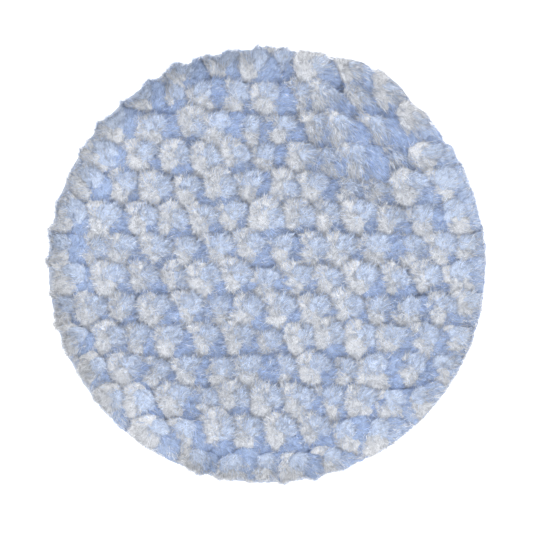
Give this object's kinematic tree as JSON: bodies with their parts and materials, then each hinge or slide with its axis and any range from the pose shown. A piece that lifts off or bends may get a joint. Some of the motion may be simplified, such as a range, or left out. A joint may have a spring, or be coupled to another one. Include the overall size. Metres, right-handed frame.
{
  "type": "polishing pad",
  "caption": "Round buffing pad with a tufted two-tone pile face, a flared foam interface and a loop back with a centring hole.",
  "frame": {"origin": "centre of the loop face, on the centring hole's axis, at the face that rests on the backing plate", "axes": "+Z from the loop face towards the pile, +X along the rows of tufts, +Y across the rows, towards the top of the pad as it is usually shown"},
  "size_m": [0.0894, 0.088, 0.0201],
  "materials": {
    "white_yarn": "soft cut pile",
    "blue_yarn": "soft cut pile",
    "ground_cloth": "plain woven polyester",
    "latex": "matt dried latex",
    "bond_film": "hot-melt film",
    "foam": "open-cell polyurethane foam",
    "loop_knit": "warp knit nylon",
    "loop_cloth": "brushed nylon loops"
  },
  "bodies": {
    "root": {"loop_nap": "loop_cloth", "loop_knit": "loop_knit", "rear_bond_film": "bond_film", "foam_core": "foam", "front_bond_film": "bond_film", "latex_backcoat": "latex", "ground_cloth": "ground_cloth", "white_yarn_row_01": "white_yarn", "blue_yarn_row_01": "blue_yarn", "white_yarn_row_02": "white_yarn", "blue_yarn_row_02": "blue_yarn", "white_yarn_row_03": "white_yarn", "blue_yarn_row_03": "blue_yarn", "white_yarn_row_04": "white_yarn", "blue_yarn_row_04": "blue_yarn", "white_yarn_row_05": "white_yarn", "blue_yarn_row_05": "blue_yarn", "white_yarn_row_06": "white_yarn", "blue_yarn_row_06": "blue_yarn", "white_yarn_row_07": "white_yarn", "blue_yarn_row_07": "blue_yarn", "white_yarn_row_08": "white_yarn", "blue_yarn_row_08": "blue_yarn", "white_yarn_row_09": "white_yarn", "blue_yarn_row_09": "blue_yarn", "white_yarn_row_10": "white_yarn", "blue_yarn_row_10": "blue_yarn", "white_yarn_row_11": "white_yarn", "blue_yarn_row_11": "blue_yarn", "white_yarn_row_12": "white_yarn", "blue_yarn_row_12": "blue_yarn", "white_yarn_row_13": "white_yarn", "blue_yarn_row_13": "blue_yarn", "white_yarn_row_14": "white_yarn", "blue_yarn_row_14": "blue_yarn"}
  },
  "joints": []
}
